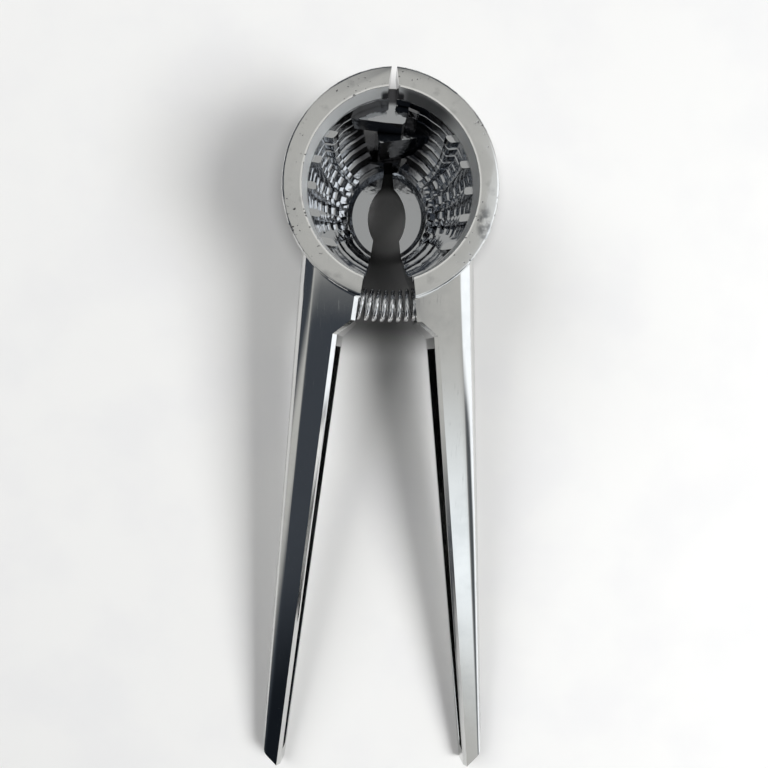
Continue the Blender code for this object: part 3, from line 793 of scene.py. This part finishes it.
def matt_board():
    """Pale board with a very slight mottle and a painted shadow below the tool, that fades in to the
    backdrop.
    """
    made = bpy.data.materials.new("matt_board")
    made.use_nodes = True
    tree = made.node_tree
    shader = tree.nodes["Principled BSDF"]
    shader.inputs["Roughness"].default_value = FLOOR_ROUGH
    point = tree.nodes.new("ShaderNodeTexCoord").outputs["Object"]
    place = split_xyz(tree, point)
    mottle = ramp(tree, noise(tree, point, *MOTTLE_NOISE), *MOTTLE_RANGE)
    below_cup = product(tree, ramp(tree, far_from(tree, point, UNDER_CUP), *UNDER_CUP_RANGE),
                        ramp(tree, far_from(tree, point, UNDER_HOLE), *UNDER_HOLE_RANGE))
    below_necks = product(tree, ramp(tree, maths(tree, "ABSOLUTE", place["X"]), *NECKS_SIDE),
                          ramp(tree, place["Y"], *NECKS_BACK), ramp(tree, place["Y"], *NECKS_FRONT))
    colour = blend_colour(tree, mottle, FLOOR_COLOUR, FLOOR_SHADED)
    # Painted shadow below the necks and below the cup.
    colour = blend_colour(tree, below_necks, colour, SHADOW_BELOW_NECKS)
    feed(tree, blend_colour(tree, below_cup, colour, SHADOW_BELOW_CUP), shader.inputs["Base Color"])
    glow = tree.nodes.new("ShaderNodeEmission")
    glow.inputs["Color"].default_value = (*BACKDROP, 1.0)
    both = tree.nodes.new("ShaderNodeMixShader")
    seen_ray = tree.nodes.new("ShaderNodeLightPath").outputs["Is Camera Ray"]
    feed(tree, product(tree, ramp(tree, length(tree, point), *FADE), seen_ray), both.inputs["Fac"])
    tree.links.new(shader.outputs["BSDF"], both.inputs[1])
    tree.links.new(glow.outputs["Emission"], both.inputs[2])
    tree.links.new(both.outputs["Shader"], tree.nodes["Material Output"].inputs["Surface"])
    return made


floor.data.materials.append(matt_board())
print("floor of %.0f m square" % (2.0 * FLOOR_HALF))

# %% Lamps
KEY_FROM, KEY_SIZE, KEY_WATTS = (0.68, -0.15, 0.68), 0.45, 8.8
FILL_FROM, FILL_SIZE, FILL_WATTS = (-0.66, 0.50, 0.70), 0.7, 6.8


def soft_lamp(name, place, size, watts):
    """A square lamp turned to the tool. It is left out of mirrors, which show the room's windows."""
    light = bpy.data.lights.new(name, "AREA")
    light.energy = watts
    light.size = size
    lamp = bpy.data.objects.new(name, light)
    lamp.location = place
    lamp.rotation_euler = lamp.location.to_track_quat("Z", "Y").to_euler()
    lamp.visible_glossy = False
    bpy.context.scene.collection.objects.link(lamp)


soft_lamp("key_lamp", KEY_FROM, KEY_SIZE, KEY_WATTS)
soft_lamp("fill_lamp", FILL_FROM, FILL_SIZE, FILL_WATTS)
print("lamps of %.1f W and %.1f W" % (KEY_WATTS, FILL_WATTS))

# %% [markdown]
# ## The room that the chrome mirrors
#
# Chrome has almost no look of its own: it shows the room. The world is a plain room drawn by direction.
# It has a pale ceiling, a window in front on the right that reaches down to the table, another on the right
# side with a dark corner before it, and the pale end of the table far out there. The left wall and the foot
# of the back wall are dark, and so is the front, where whoever holds the camera stands. Each patch is a
# product of soft steps along the axes of the room. Matt things get only a little light from it, because the
# lamps light them.

# %% Patches of the room
FIGURE_LEFT, FIGURE_NEAR = ("X", -0.46, -0.34), ("Y", -0.42, -0.68)
FRONT_SHADE = (("X", 0.18, 0.06), ("Y", -0.06, -0.26))
DARK_WALL = (("X", -0.42, -0.58), ("Y", -0.30, -0.12))
LOW_BACK = (("Y", 0.60, 0.75), ("Z", 0.8, 0.65))
SHADE_FOOT = (("Y", -0.62, -0.80),)
DARK_CORNER = (("X", 0.30, 0.62), ("Y", -0.20, -0.34))
FRONT_PANE = (("X", 0.08, 0.18), ("X", 0.56, 0.27), ("Y", -0.25, -0.68), ("Y", -0.84, -0.64))
LOW_PANE = (("X", 0.12, 0.30), ("Y", -0.20, -0.40), ("Z", 0.34, 0.16))
SIDE_PANE = (("X", 0.42, 0.54), ("Z", 0.15, 0.35), ("Y", -0.36, -0.22), ("Y", 0.62, 0.40))
FAR_TABLE = (("X", 0.80, 0.92),)

world = bpy.data.worlds.new("room")
bpy.context.scene.world = world
world.use_nodes = True
room = world.node_tree
axes = split_xyz(room, room.nodes.new("ShaderNodeTexCoord").outputs["Generated"])


def patch(*steps):
    """Mask of one patch of the room: the product of soft steps, each an axis, a start and an end."""
    return product(room, *(ramp(room, axes[axis], start, end) for axis, start, end in steps))


figure = largest(room, patch(FIGURE_LEFT), patch(FIGURE_NEAR))
shade = largest(room, product(room, patch(*FRONT_SHADE), figure), patch(*DARK_WALL), patch(*LOW_BACK))
bright = largest(room, patch(*SIDE_PANE), patch(*LOW_PANE), patch(*FAR_TABLE))
print("patches drawn with %d nodes" % len(room.nodes))

# %% Room seen by the metal
CEILING = (0.64, 0.64, 0.62)
WINDOW = (1.36, 1.44, 1.50)
SIDE_WINDOW = (1.50, 1.56, 1.62)
SHADE, LOW_SHADE = (0.062, 0.072, 0.088), (0.010, 0.013, 0.018)
CORNER = (0.11, 0.12, 0.13)
DIM = (0.10, 0.10, 0.10)

ray = room.nodes.new("ShaderNodeLightPath").outputs
matt = maths(room, "GREATER_THAN", ray["Diffuse Depth"], 0.5)
seen = CEILING
for mask, colour in ((shade, blend_colour(room, patch(*SHADE_FOOT), SHADE, LOW_SHADE)),
                     (patch(*DARK_CORNER), CORNER), (bright, SIDE_WINDOW),
                     (patch(*FRONT_PANE), WINDOW), (matt, DIM), (ray["Is Camera Ray"], BACKDROP)):
    seen = blend_colour(room, mask, seen, colour)
back = room.nodes["Background"]
feed(room, seen, back.inputs["Color"])
back.inputs["Strength"].default_value = 1.0
bpy.context.scene.view_settings.view_transform = "Standard"
print("room of %d nodes" % len(room.nodes))
